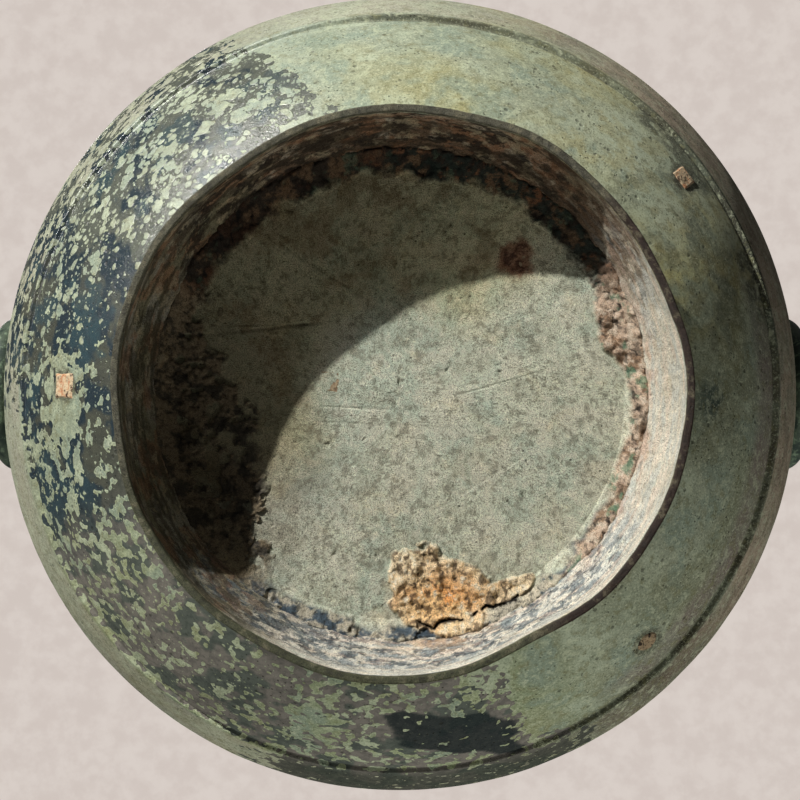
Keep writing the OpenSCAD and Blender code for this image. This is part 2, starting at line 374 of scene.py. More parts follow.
def patina_material():
    """Smooth green patina over a waxy blue-black one, which shows between rounded islands."""
    m = Nodes("green_patina")
    p = m.coord()
    surf = m.attr("surf", "Vector")
    pale = m.attr("tint", "Color")
    dark = m.attr("darktint", "Color")
    dk = m.attr("dk")
    cloud = m.noise(p, 55, 5, 0.6, 0.4)
    mid = m.noise(p, 300, 4, 0.6, 0.2)
    fine = m.noise(p, 1300, 5, 0.7)
    grain = m.noise(p, 2600, 3, 0.7)
    # Islands of pale green: a net of wide ones with paler rims
    wax = m.attr("wax")
    waxy = m.fit(wax, 0.18, 0.45)
    wide = m.lerp(waxy, m.noise(surf, 250, 1.6, 0.5), m.noise(surf, 200, 2.5, 0.5))
    limit = m.plus(m.times(dk, 0.42), 0.29)
    wide = m.math("SUBTRACT", wide, limit)
    island = m.fit(wide, -0.01, 0.01)
    rim = m.times(m.fit(wide, -0.004, 0.012), m.fit(wide, 0.05, 0.014))
    # Rounded drops of three sizes between them
    dots = m.attr("dots")
    for scale, share in ((185, 0.56), (300, 0.54), (640, 0.44)):
        near, chance = m.drops(surf, scale)
        size = m.times(m.times(m.math("POWER", chance, 1.3), share * 1.3), dots)
        island = m.math("MAXIMUM", island, m.fit(m.math("SUBTRACT", size, near), -0.03, 0.05))
    cover = m.times(m.math("SUBTRACT", 1, island), m.fit(dk, 0.02, 0.05))
    rim = m.times(rim, m.fit(dk, 0.2, 0.45))
    # Clouds, stains and grain: the noise, where it begins and is full, the most it does, the tone
    pale = m.mix(m.times(rim, 0.35), pale, rgb(182, 192, 150))
    for texture, begins, full, most, tone in (
        (cloud, 0.42, 0.64, 0.35, (130, 142, 122)),
        (mid, 0.5, 0.7, 0.65, (116, 116, 84)),
        (mid, 0.5, 0.3, 0.55, (176, 182, 152)),
        (fine, 0.51, 0.68, 0.75, (76, 80, 58)),
        (fine, 0.47, 0.32, 0.6, (192, 196, 168)),
    ):
        pale = m.mix(m.fit(texture, begins, full, 0, most), pale, rgb(*tone))
    dark = m.mix(m.fit(mid, 0.42, 0.62, 0, 0.5), dark, m.mix(0.6, dark, rgb(16, 24, 30)))
    dark = m.mix(m.fit(fine, 0.56, 0.72, 0, 0.4), dark, rgb(104, 108, 94))
    dark = m.mix(m.fit(fine, 0.44, 0.3, 0, 0.5), dark, rgb(20, 24, 24))
    # Pin holes, in groups
    wide_pits = m.fit(m.cells(p, 260), 0.24, 0.12)
    wide_pits = m.times(wide_pits, m.fit(m.noise(p, 110, 2), 0.5, 0.6))
    pits = m.fit(m.cells(p, 520), 0.22, 0.1)
    pits = m.times(pits, m.fit(m.noise(p, 70, 3), 0.42, 0.6))
    pits = m.math("MAXIMUM", m.times(wide_pits, 0.7), pits)
    colour = m.mix(cover, pale, dark)
    colour = m.mix(m.times(pits, 0.75), colour, rgb(38, 38, 30))
    # The dark patina is the glossier one, above all where it is waxy
    rough = m.lerp(cover, m.fit(mid, 0.3, 0.7, 0.44, 0.58), m.fit(mid, 0.3, 0.7, 0.32, 0.44))
    rough = m.plus(rough, m.fit(wax, 0.2, 0.6, 0.32, 0))
    rough = m.plus(rough, m.fit(wax, 0.7, 1, 0, -0.11))
    rough = m.plus(rough, m.times(pits, 0.3))
    gloss = m.lerp(cover, m.fit(wax, 0.5, 1, 0.45, 1), wax)
    height = m.total((fine, 0.45), (cover, -0.5), (grain, 0.25), (pits, -1), (mid, 0.5))
    return m.surface(colour, rough, m.bump(height, 0.0003, 0.9), spec=gloss)


def crusted_material(name, relief):
    """Rough earthy patina: the painted tints with grain, stains, pits and crumbs."""
    m = Nodes(name)
    p = m.coord()
    col = m.attr("tint", "Color")
    fine = m.noise(p, 1500, 6, 0.75)
    mid = m.noise(p, 680, 6, 0.72, 0.3)
    cloud = m.noise(p, 90, 6, 0.66, 0.5)

    def shades(c, rows):
        """Rows: a noise, where its shade begins and is full, the most it does, what it multiplies by"""
        for texture, begins, full, most, factor in rows:
            c = m.mix(m.fit(texture, begins, full, 0, most), c, m.mix(1, c, factor, "MULTIPLY"))
        return c

    col = shades(col, (
        (mid, 0.5, 0.7, 0.7, (0.56, 0.56, 0.53)),
        (mid, 0.48, 0.3, 0.7, (1.3, 1.28, 1.2)),
        (cloud, 0.54, 0.7, 0.35, (1.12, 0.98, 0.8)),
        (cloud, 0.46, 0.3, 0.35, (0.82, 1, 1.02)),
        (fine, 0.53, 0.68, 0.9, (0.42, 0.4, 0.36)),
        (fine, 0.46, 0.32, 0.7, (1.3, 1.28, 1.24)),
    ))
    pits = m.fit(m.cells(p, 420), 0.2, 0.08)
    pits = m.times(pits, m.fit(m.noise(p, 130, 2), 0.58, 0.66))
    col = m.mix(m.times(pits, 0.7), col, rgb(40, 36, 30))
    grit = m.noise(p, 3000, 2, 0.6)
    col = shades(col, (
        (grit, 0.52, 0.64, 0.9, (0.42, 0.42, 0.39)),
        (grit, 0.48, 0.36, 0.8, (1.34, 1.34, 1.3)),
    ))
    height = m.total((fine, 1.1), (mid, 0.7), (pits, -0.8))
    rough = m.times(m.fit(mid, 0.3, 0.7, 0.72, 0.92), m.attr("dull"))
    return m.surface(col, rough, m.bump(height, relief, 1), spec=0.3)


def dark_bronze_material():
    """Handled green-black bronze: worn brown ridges, pale green in the hollows."""
    m = Nodes("dark_bronze")
    p = m.coord()
    cloud = m.noise(p, 120, 5, 0.6, 0.5)
    mid = m.noise(p, 420, 4, 0.6, 0.2)
    fine = m.noise(p, 1600, 4, 0.65)
    point = m.new("ShaderNodeNewGeometry").outputs["Pointiness"]
    col = m.mix(m.fit(cloud, 0.42, 0.6), rgb(48, 60, 54), rgb(78, 90, 76))
    col = m.mix(m.fit(mid, 0.52, 0.66, 0, 0.75), col, rgb(118, 136, 112))
    col = m.mix(m.fit(point, 0.5, 0.44, 0, 0.8), col, rgb(132, 148, 122))
    col = m.mix(m.fit(point, 0.52, 0.6, 0, 0.6), col, rgb(96, 76, 52))
    col = m.mix(m.fit(fine, 0.58, 0.74, 0, 0.5), col, rgb(24, 26, 22))
    rough = m.fit(mid, 0.35, 0.65, 0.34, 0.6)
    height = m.total((fine, 0.5), (mid, 0.9))
    return m.surface(col, rough, m.bump(height, 0.00025, 0.8), metal=0.15, spec=0.5)


def spacer_material(name, light, middle, deep):
    """Granular corrosion of a casting spacer in three tones."""
    m = Nodes(name)
    p = m.coord()
    coarse = m.noise(p, 420, 5, 0.65, 0.4)
    fine = m.noise(p, 1700, 4, 0.7)
    col = m.mix(m.fit(coarse, 0.38, 0.52), middle, light)
    col = m.mix(m.fit(coarse, 0.52, 0.62), col, deep)
    col = m.mix(m.fit(fine, 0.55, 0.72, 0, 0.6), col, deep)
    height = m.total((coarse, 1.4), (fine, 0.5))
    rough = m.fit(fine, 0.3, 0.7, 0.6, 0.85)
    return m.surface(col, rough, m.bump(height, 0.0005, 0.9), spec=0.4)


PATINA = patina_material()
CRUST = crusted_material("earthy_crust", 0.0006)
BASE = crusted_material("base_patina", 0.00075)
FOOT = crusted_material("foot_patina", 0.00055)
DARK = dark_bronze_material()


# Vessel body; tones are red, green and blue as a screen shows them
BLACK = (0, 0, 0)
GREEN = (142, 149, 128)
OLIVE = (148, 144, 100)
AQUA = (122, 138, 124)
BEIGE = (160, 154, 138)
PURPLE = (118, 106, 100)
UMBER = (84, 88, 78)
GREYBROWN = (70, 72, 62)
BLUEBLACK = (32, 46, 54)
CORROSION = (44, 36, 26)
INSIDE = (96, 104, 88)

# Casting spacers in the wall: name, CAD node, angle and latitude, width, height, tone, round or not
SPACERS = (
    ("spacer_r", "right_spacer", 1.4, -41.6, 8.2, 10.4, "orange", False),
    ("spacer_b", "back_spacer", 142.7, -36, 7, 9, "orange", False),
    ("spacer_f", "front_spacer", 225, -38, 8, 8.6, "brown", True),
    ("spacer_uf", "upper_front_spacer", 285, 30, 7.4, 9.2, "brown", False),
    ("spacer_ub", "upper_back_spacer", 60, 30, 7.4, 9.2, "orange", False),
    ("spacer_ul", "upper_left_spacer", 150, 30, 7.4, 9.2, "brown", False),
)
# Half width and height of the dark corrosion round a seen spacer
HALO = (5.6, 6.6)


def belly_point(lat, radius=BELLY_R):
    """A point at a latitude of the belly's sphere, or of one inside it."""
    a = math.radians(lat)
    return (radius * math.cos(a), BELLY_Z + radius * math.sin(a))


def banded_point(lat):
    """A point of the outer belly, with the raised bands' edges a little rounded."""
    up = 0
    for mid in BANDS:
        d = BAND_HALF - abs(lat - mid)
        up = max(up, min(max((d + 0.1) / 0.32, 0), 1))
    return belly_point(lat, BELLY_R + BAND_PROUD * up * up * (3 - 2 * up))


def body_profile():
    """The half section as (r, z) rows, from the base's centre up the outside and down the inside,
    with the number of the row's material."""
    base = [(0.02, FOOT_H)]
    base += [(r, FOOT_H) for r in np.arange(0.6, 79.8, 0.6)]
    base += [(r, FOOT_H) for r in (80.5, 82, 83.2)]

    # Belly: rows stand closer where it is seen, and closest at the bands' edges
    rest = []
    lat = math.degrees(math.asin((FOOT_H - BELLY_Z) / BELLY_R))
    while lat < JOIN_LAT:
        rest.append(banded_point(lat))
        near = min(abs(abs(lat - mid) - BAND_HALF) for mid in BANDS)
        coarse = 0.3 if lat < -10 else 0.6
        lat += 0.06 if near < 0.35 else coarse

    def neck(z, radius):
        return (NECK_X - math.sqrt(radius ** 2 - (z - WAIST_Z) ** 2), z)

    # Neck and square-edged lip
    rest += [neck(z, NECK_ROUND) for z in np.linspace(JOIN_Z, FLARE_Z - 0.5, 52)]
    rest += [(FLARE_R + 0.1, FLARE_Z - 0.1), (FLARE_R + 0.5, FLARE_Z)]
    rest += [(LIP_R - 0.6, FLARE_Z), (LIP_R - 0.15, FLARE_Z + 0.15)]
    rest += [(LIP_R, FLARE_Z + v) for v in np.linspace(0.6, LIP_H - 0.8, 12)]
    rest += [(LIP_R - 0.15, MOUTH_Z - 0.25), (LIP_R - 0.6, MOUTH_Z)]
    rest += [(LIP_R - v, MOUTH_Z) for v in (1.4, 2.2, 3.2)]
    rest += [(LIP_R - LIP_T + 0.15, MOUTH_Z - 0.3)]
    # Inside of the lip, neck, belly and base
    rest += [(LIP_R - LIP_T, MOUTH_Z - v) for v in np.linspace(1, LIP_H - 0.3, 10)]
    rest += [neck(z, NECK_ROUND + WALL) for z in np.linspace(FLARE_Z, JOIN_Z, 40)]
    floor_lat = math.degrees(math.asin((FOOT_H + BASE_T - BELLY_Z) / (BELLY_R - WALL)))
    rest += [belly_point(v, BELLY_R - WALL) for v in np.linspace(JOIN_LAT - 0.5, floor_lat, 60)]
    rest += [(r, FOOT_H + BASE_T) for r in (70, 50, 30, 12, 1, 0.02)]
    return np.array(base + rest), np.array([1] * len(base) + [0] * len(rest))


BODY_PROF, BODY_KIND = body_profile()
BODY_BASE_ROWS = int((BODY_KIND == 1).sum())
BODY_MOUTH_ROW = int(np.argmax(BODY_PROF[:, 1] > MOUTH_Z - 0.01)) + 4

# Scratches on the base in millimetres from its centre: from x, y to x, y, half width, depth
SCRATCHES = (
    (-62, 19, -26, 23, 0.6, 0.35),
    (-62, 22, -30, 22.5, 0.5, 0.3),
    (-25, -4, 12, -6, 0.6, 0.3),
    (-24, -9, 16, -11, 0.5, 0.3),
    (-44, 52, -10, 30, 0.6, 0.25),
    (-35, -22, -14, -50, 0.5, 0.25),
    (20, 0, 48, 8, 0.5, 0.25),
    (-26, 7, -20, 7, 0.4, 0.3),
    (-26, 1, -20, 1, 0.4, 0.3),
    (-26, 7, -26, 1, 0.4, 0.3),
    (-20, 7, -20, 1, 0.4, 0.3),
    (10, -38, 40, -20, 0.5, 0.2),
)
# The reddish stain beside the round spacer: its angle and picture radius
STAIN = (49.8, 178)


def base_relief(b, th, rho):
    """How far the underside of the base stands out at points b: lumps, pits, scratches and a stain."""
    h = 0.8 * (fbm(b, 22, 4, 11, 0.5) - 0.5) + 0.16 * (fbm(b, 2.6, 4, 13, 0.6) - 0.5)
    h -= 0.5 * step(0.7, 0.8, fbm(b, 4, 3, 17, 0.6))
    u = -b[:, 0]
    v = b[:, 1]
    for ax, ay, bx, by, half, depth in SCRATCHES:
        dx = bx - ax
        dy = by - ay
        length = math.hypot(dx, dy)
        along = ((u - ax) * dx + (v - ay) * dy) / length
        off = np.abs((u - ax) * dy - (v - ay) * dx) / length
        off = off + 0.5 * (fbm(b, 7, 2, 23) - 0.5)
        h -= depth * (1 - step(0, half, off)) * span(along, 0, length, 2)
    return h + 0.5 * spot(th, rho, *STAIN, 6.5, 20) * (fbm(b, 3, 4, 29) - 0.2)


def body_shape(p, nrm, row):
    """Uneven walls, and the relief of the base, which fades out before the foot."""
    out = p.copy()
    base = row < BODY_BASE_ROWS
    th, rho, r = seen(p)
    amount = np.where(base, 0, 0.5 * (fbm(p, 22, 3, 5) - 0.5))
    out += nrm * amount[:, None]
    relief = base_relief(p[base], th[base], rho[base])
    out[base, 2] -= relief * (1 - step(79, 83, r[base]))
    return out


def base_tint(p, th, rho):
    """Pale grey-green base with a ring and the red stain; toward the upper left, where the foot's shadow
    falls, it is darkened and browned as painted shade and carries brown stains.
    """
    col = coat(p, (196, 200, 180))
    wide = fbm(p, 24, 5, 41, 0.6)
    middle = fbm(p, 9, 5, 43, 0.6)
    fine = fbm(p, 2, 4, 49, 0.75)
    # The side of the base in the foot's shadow
    in_foot_shadow = arc(th, 45, 215, 15) * step(60, 120, rho)
    col = layers(
        col,
        ((160, 178, 164), 0.45 * step(0.48, 0.62, wide)),
        ((200, 196, 178), 0.5 * step(0.5, 0.36, middle)),
        ((150, 150, 132), 0.35 * step(0.54, 0.66, middle)),
        ((188, 170, 138), 0.18 * step(0.6, 0.72, fbm(p, 12, 5, 47, 0.6))),
        ((120, 116, 100), 0.6 * step(0.55, 0.66, fine)),
        ((212, 208, 190), 0.5 * step(0.45, 0.34, fine)),
        ((132, 126, 116), 0.4 * span(rho, 120, 230, 30) * arc(th, 150, 235, 14)),
        # Painted shade: the upper left of the base darkened where the foot's shadow falls
        (BLACK, 0.42 * arc(th, 75, 215, 36) * step(40, 120, rho)),
    )
    # Painted shade: a brown cast over the side in the foot's shadow
    col = blend(col, col * np.array([1, 0.93, 0.74]), in_foot_shadow)
    ring = np.abs(rho - 60 - 10 * (fbm(p, 14, 2, 53) - 0.5))
    red = spot(th, rho, *STAIN, 6.2, 19) + 0.9 * (fbm(p, 4, 4, 59, 0.65) - 0.5)
    scab = step(0.4, 0.8, red) * step(0.42, 0.56, fbm(p, 2, 4, 61, 0.65))
    return layers(
        col,
        # Brown stains, on the side in the foot's shadow only
        ((104, 84, 56), 0.45 * in_foot_shadow * step(0.5, 0.62, fbm(p, 13, 5, 45, 0.65))),
        ((176, 172, 156), 0.3 * (1 - step(0, 3, ring)) * arc(th, 190, 330, 20)),
        ((134, 90, 68), 0.85 * step(0.25, 0.62, red)),
        ((70, 46, 38), 0.85 * scab),
    )


def latitude(p):
    """Latitude on the belly's sphere, in degrees."""
    return np.degrees(np.arcsin(np.clip((p[:, 2] - BELLY_Z) / BELLY_R, -1, 1)))


def spacer_halo(p, lat):
    """The dark corrosion round the three spacers that are seen."""
    halo = np.zeros(len(p))
    around = np.degrees(np.arctan2(p[:, 1], p[:, 0]))
    for at, lat_at in [spacer[2:4] for spacer in SPACERS[:3]]:
        parallel = BELLY_R * math.cos(math.radians(lat_at))
        across = np.radians(turn(around, at)) * parallel
        along = np.radians(lat - lat_at) * BELLY_R
        near = np.hypot(across / HALO[0], along / HALO[1]) + 0.5 * (fbm(p, 2.4, 3, 87) - 0.5)
        halo = np.maximum(halo, 1 - step(0.98, 1.22, near))
    return halo


def belly_tint(p, th, rho, low):
    """Pale patina of the body: green, with the olive side and the stains where the picture has them."""
    big = fbm(p, 42, 4, 71)
    mid = fbm(p, 15, 4, 73, 0.6)
    col = layers(
        coat(p, GREEN),
        ((128, 138, 104), arc(th, 196, 300, 12) * low),
        ((128, 138, 122), arc(th, 150, 200, 12) * low),
        ((140, 152, 138), arc(th, 98, 150, 10) * low),
        # Painted shade: darker toward the belly's edge at the lower right
        (BLACK, 0.4 * arc(th, 300, 352, 12) * step(336, 376, rho) * low),
        (OLIVE, (0.25 + 0.7 * arc(th, 8, 92, 16) * low) * step(0.4, 0.62, big)),
    )
    # Painted light: low on the belly, from 12 to 54 degrees, the colour is made up to 1.6 times lighter
    col = col * (1 + 0.6 * arc(th, 12, 54, 12) * low)[:, None]
    brown = step(0.5, 0.6, fbm(p, 9, 5, 86, 0.7))
    ochre = step(0.54, 0.62, fbm(p, 7, 4, 88, 0.6))
    purple = arc(th, -52, 16, 10) * span(rho, 358, 384, 6) * low
    two = arc(th, 11, 23, 1.5) + arc(th, 33, 50, 1.5)
    two = two * span(rho, 362, 381, 3) * low * step(0.4, 0.52, fbm(p, 7, 4, 83, 0.65))
    # Painted shadow: a dark patch on the belly just right of the foot, where the foot's shadow falls
    patch = spot(th, rho, -1, 312, 3.2, 13) * step(0.3, 0.5, fbm(p, 5, 3, 85)) * low
    strip = span(rho, 381, 396, 1) * low * (p[:, 2] < 110)
    worn = step(0.44, 0.6, stretched(p, 3, 9, 4, 81))
    lat = latitude(p)
    # The step under the lowest band, which is given painted shade below
    ledge_shade = 1 - step(0.35, 0.7, np.abs(lat - (BANDS[0] - BAND_HALF - 0.1)))
    return layers(
        col,
        (AQUA, 0.7 * step(0.54, 0.68, mid)),
        ((172, 182, 158), 0.55 * step(0.5, 0.34, mid)),
        ((112, 116, 94), 0.6 * arc(th, 296, 372, 14) * low * step(0.38, 0.6, big)),
        # Stains on the olive side, and a painted shadow of the foot on the belly beside it
        ((84, 80, 58), 0.5 * arc(th, -8, 52, 10) * low * brown),
        ((150, 136, 78), 0.4 * arc(th, 16, 62, 10) * low * ochre),
        (PURPLE, 0.8 * purple * (0.5 + fbm(p, 8, 4, 79))),
        ((70, 72, 60), 0.9 * two),
        ((52, 66, 62), 1.6 * patch),
        # The lowest band, which the picture shows as a strip along the belly's edge
        (BEIGE, 0.6 * strip * (0.5 + mid)),
        ((160, 145, 126), strip * arc(th, -60, 58, 8)),
        ((120, 106, 92), 0.7 * strip * arc(th, -60, 70, 12) * worn),
        (BLACK, 0.6 * arc(th, 285, 325, 10) * step(366, 380, rho) * low),
        # Painted shade on the step under that band, darkening its face where it catches the lamps
        ((60, 58, 44), 0.9 * ledge_shade * arc(th, -70, 96, 10)),
        ((24, 24, 18), 0.85 * ledge_shade * arc(th, 6, 44, 6)),
    )


# Round the belly as seen from below: the angle, the share that the dark patina covers there, and
# the size of the pale drops that lie on it
DARK_SHARES = (
    (100, 0.66, 1.00),
    (125, 0.9, 0.88),
    (150, 0.95, 0.78),
    (170, 0.88, 0.7),
    (188, 0.66, 0.5),
    (205, 0.58, 0.45),
    (218, 0.64, 0.35),
    (232, 0.7, 0.35),
    (246, 0.66, 0.3),
    (262, 0.6, 0.35),
    (278, 0.62, 0.35),
    (291, 0.52, 0.5),
)


def black_patch(p, th, rho, low):
    """The nearly black patch at the bottom of the picture."""
    around = turn(th, 279)
    patch = np.exp(-(around / 11) ** 4 - ((rho - 345 - 1.3 * around) / 20) ** 4)
    return step(0.4, 0.58, patch + 1.1 * (fbm(p, 9, 4, 92) - 0.5)) * low


def dark_cover(p, th, rho, low, patch):
    """The share of the surface that the dark waxy patina covers, and the size of its pale drops."""
    # Its two ends round the belly; higher up they wander
    starts = 103 + (rho - 295) * 0.13 + 5 * (fbm(p, 9, 4, 89) - 0.5)
    wander = 50 * (1 - low) * (fbm(p, 50, 4, 99, 0.6) - 0.5)
    ends = th + wander - 9 * step(362, 380, rho) * low + 4 * (fbm(p, 8, 4, 91) - 0.5)
    region = step(-0.5, 0.5, th + wander - starts) * (1 - step(290, 291.5, ends))
    at, share, drop = np.array(DARK_SHARES, float).T
    dk = np.interp(th, at, share)
    dots = np.interp(th, at, drop)
    # Pale and dark places within it
    dk = dk - 0.85 * spot(th, rho, 180.5, 335, 7.5, 24) + 0.25 * spot(th, rho, 183.5, 370, 3.6, 13)
    dk = dk - 0.55 * step(376, 384, rho) * arc(th, 182, 246, 6)
    dk = dk + 0.22 * spot(th, rho, 184, 310, 6, 14) - 0.55 * spot(th, rho, 254.5, 338, 3.2, 24)
    dk = dk + 0.3 * patch + 0.4 * (fbm(p, 13, 3, 93) - 0.5)
    dk = dk - 0.2 * step(366, 384, rho) * (1 - arc(th, 252, 292, 4))
    # Darker at the belly's edge near the bottom: partly dark patina, partly painted shade
    dk = dk + 0.35 * step(376, 386, rho) * arc(th, 254, 300, 4)
    dots = dots * (1 - 0.4 * arc(th, 150, 200, 6) * step(330, 312, rho))
    dots = dots * (0.5 + fbm(p, 16, 2, 94)) * (1 - 0.8 * patch)
    up = 0.55 + 1.6 * (fbm(p, 60, 3, 95) - 0.55) - 0.25 * step(170, 260, p[:, 2])
    return np.clip(region * (low * dk + (1 - low) * up), 0, 0.97), dots


def dark_tint(p, th, rho, low, patch):
    """Colour of the dark patina: blue-black, browner and greyer on round the belly."""
    spread = 0.1 * arc(th, 95, 150, 14) - 0.05 * arc(th, 155, 204, 10)
    brown = step(0.46, 0.53, fbm(p, 11, 4, 97, 0.6) + spread)
    blue = step(0.56, 0.64, fbm(p, 15, 4, 98, 0.6))
    grey = layers(coat(p, (84, 90, 82)), ((114, 110, 102), brown))
    col = layers(
        coat(p, BLUEBLACK),
        (UMBER, brown * arc(th, 95, 158, 8)),
        (GREYBROWN, brown * arc(th, 158, 204, 8)),
        ((46, 68, 74), 0.7 * blue * arc(th, 110, 200, 12)),
    )
    col = blend(col, grey, arc(th, 204, 300, 8))
    return layers(
        col,
        ((34, 42, 42), 0.9 * patch),
        # Darker at the belly's edge near the bottom: partly dark patina, partly painted shade
        ((62, 66, 56), 0.8 * step(374, 386, rho) * arc(th, 250, 302, 4) * low),
    )


def unrolled(p, r, row):
    """Places for the islands' noise: the wall's height is its length along the section, and the
    ring that it lies on narrows less than the vessel, so that islands keep their shape."""
    steps = np.hypot(*np.diff(BODY_PROF, axis=0).T)
    along = np.concatenate([[0], np.cumsum(steps)])[row]
    a = np.arctan2(p[:, 1], p[:, 0])
    across = 42 + 0.65 * r
    return np.stack([across * np.cos(a), across * np.sin(a), 1.05 * along + 500], 1) / 1000


def body_paint(p, row):
    """Point data of the body. The picture's layout holds low on the belly and fades out above it."""
    th, rho, r = seen(p)
    base = row < BODY_BASE_ROWS
    inside = row > BODY_MOUTH_ROW
    low = 1 - step(100, 125, p[:, 2])
    patch = black_patch(p, th, rho, low)
    halo = spacer_halo(p, latitude(p))
    pale = layers(belly_tint(p, th, rho, low), (CORROSION, 0.9 * halo))
    dark = layers(dark_tint(p, th, rho, low, patch), (CORROSION, 0.9 * halo))
    dk, dots = dark_cover(p, th, rho, low, patch)
    pale[inside] = rgb(*INSIDE)
    dk[inside] = 0.3
    pale[base] = base_tint(p[base], th[base], rho[base])
    return {
        "tint": pale,
        "darktint": dark,
        "surf": unrolled(p, r, row),
        "dk": dk,
        "dots": dots,
        "wax": 0.15 + 0.4 * arc(th, 100, 196, 14) + 0.45 * arc(th, 105, 160, 14),
        "dull": np.ones(len(p)),
    }


shell = lathe("vessel_shell", BODY_PROF, 840, body_shape, body_paint, [PATINA, BASE], BODY_KIND)
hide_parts("vessel_body")
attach(shell, "vessel")


# Foot ring: flared, with an upright band, an uneven worn rim and a crusted inside
RIM_IN = FOOT_R - 3.2  # inside of the rim, level with the band's top
# Waves of the worn rim, outward in millimetres: how far, at which angle, how wide
RIM_BENDS = ((1.5, 352, 20), (-1.7, 120, 14), (-2.3, 300, 15), (0.5, 60, 18))
RIM_NICK = 36  # the angle of the nick in the rim


def foot_profile():
    """The half section as (r, z) rows: down the inside, round the rim and up the outside."""
    top = FOOT_H - 0.1
    band_top = FOOT_BAND_H
    flare_r = FOOT_R - FOOT_STEP
    flare_rise = FOOT_WAIST_H - band_top
    pts = [(FOOT_BORE - 1, top)]
    pts += [(FOOT_BORE + 0.9 * t, top - 5.9 * t) for t in np.linspace(0, 1, 14)]
    pts += [(RIM_IN - 6.8 * (1 - t), 28 - 17 * t) for t in np.linspace(0.02, 1, 44)]
    pts += [(RIM_IN + 0.75 * t, band_top - 10.3 * t) for t in np.linspace(0.03, 1, 26)]
    pts += [(FOOT_R - 2.3, 0.3), (FOOT_R - 2.1, 0.08)]
    pts += [(FOOT_R - v, 0) for v in (1.8, 1.4, 1, 0.6)]
    pts += [(FOOT_R - 0.3, 0.08), (FOOT_R - 0.1, 0.3)]
    pts += [(FOOT_R, z) for z in np.linspace(0.7, band_top - 0.6, 16)]
    pts += [(FOOT_R - 0.1, band_top - 0.15), (FOOT_R - 0.4, band_top)]
    pts += [(FOOT_R - 1, band_top + 0.03), (FOOT_R - 1.4, band_top + 0.1)]
    for t in np.linspace(0.03, 1, 20):
        pts.append((flare_r - (flare_r - FOOT_WAIST_R) * t, band_top + flare_rise * t))
    for z in np.linspace(FOOT_WAIST_H + 0.6, top, 14):
        bend = math.sqrt(FOOT_FILLET ** 2 - (z - FOOT_WAIST_H) ** 2)
        pts.append((FOOT_WAIST_R + FOOT_FILLET - bend, z))
    return pts


FOOT_PROF = np.array(foot_profile())
FOOT_INNER = int(np.argmin(np.abs(FOOT_PROF[:, 1] - 0.3)[:90]))  # the last row of the inside


def rim_wobble(th):
    """How far the worn rim bends outward at an angle."""
    w = 0.35 * np.sin(np.radians(7 * th + 40)) + 0.2 * np.sin(np.radians(13 * th))
    for far, at, wide in RIM_BENDS:
        w = w + far * np.exp(-(turn(th, at) / wide) ** 2)
    return w


def foot_shape(p, nrm, row):
    """The bent rim, the lumpy inside, and the chips in the rim's lower edge."""
    th, rho, r = seen(p)
    out = p.copy()
    z = p[:, 2]
    side = out[:, :2] / np.maximum(r, 1e-6)[:, None]
    low = 1 - step(2, 26, z)
    out[:, :2] += side * ((rim_wobble(th) - 0.1) * low)[:, None]
    inner = (row < FOOT_INNER).astype(float)
    lump = 1.3 * (fbm(p, 14, 4, 101) - 0.5) + fbm(p, 3.4, 4, 103, 0.65) - 0.5
    lump = lump + 0.5 * (stretched(p, 2, 7, 3, 107) - 0.5)
    rough = inner * (0.35 + 0.65 * step(3, 12, z)) + (1 - inner) * 0.14
    out[:, :2] -= side * (lump * rough)[:, None]
    band = (1 - inner) * (z < 2) + inner * (z < 1.5)
    chip = 0.6 * step(0.6, 0.75, fbm(p, 4, 3, 109)) + 1.2 * np.exp(-(turn(th, RIM_NICK) / 1.1) ** 2)
    out[:, 2] += band * (0.35 * chip + 0.25 * (fbm(p, 3, 3, 111) - 0.4))
    out[:, 2] = np.maximum(out[:, 2], 0)
    return out


